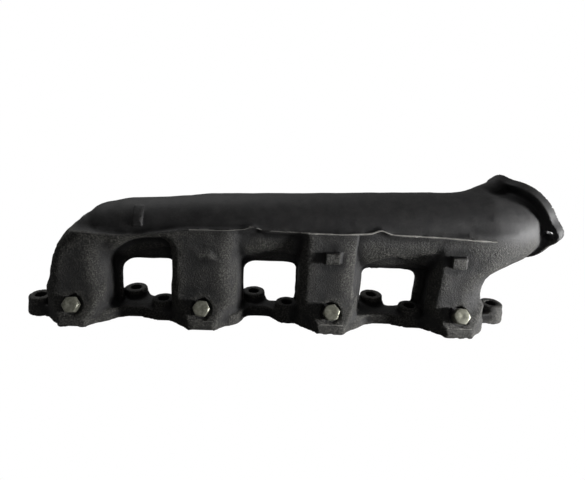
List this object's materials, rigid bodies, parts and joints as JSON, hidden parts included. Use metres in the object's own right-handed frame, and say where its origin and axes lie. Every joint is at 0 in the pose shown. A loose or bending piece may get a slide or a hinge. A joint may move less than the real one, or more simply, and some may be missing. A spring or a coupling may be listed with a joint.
{
  "type": "exhaust manifold",
  "caption": "Cast-iron log exhaust manifold with a ported head flange, square runners, hex air plugs and a tilted outlet flange.",
  "frame": {"origin": "on the head face, midway between the middle ports, on the line of port centres", "axes": "+X along the log towards the outlet, +Z away from the head, -Y towards the side with the air plugs"},
  "size_m": [0.5143, 0.1022, 0.1444],
  "materials": {
    "iron": "sand-cast iron, dipped in thin satin black, rough and speckled where the sand shows",
    "zinc": "turned steel with dull zinc plating"
  },
  "bodies": {
    "root": {"head_flange": "iron", "runner_1": "iron", "runner_2": "iron", "runner_3": "iron", "runner_4": "iron", "log": "iron", "outlet_elbow": "iron", "outlet_flange": "iron", "air_plug_1": "zinc", "air_plug_2": "zinc", "air_plug_3": "zinc", "air_plug_4": "zinc"}
  },
  "joints": []
}
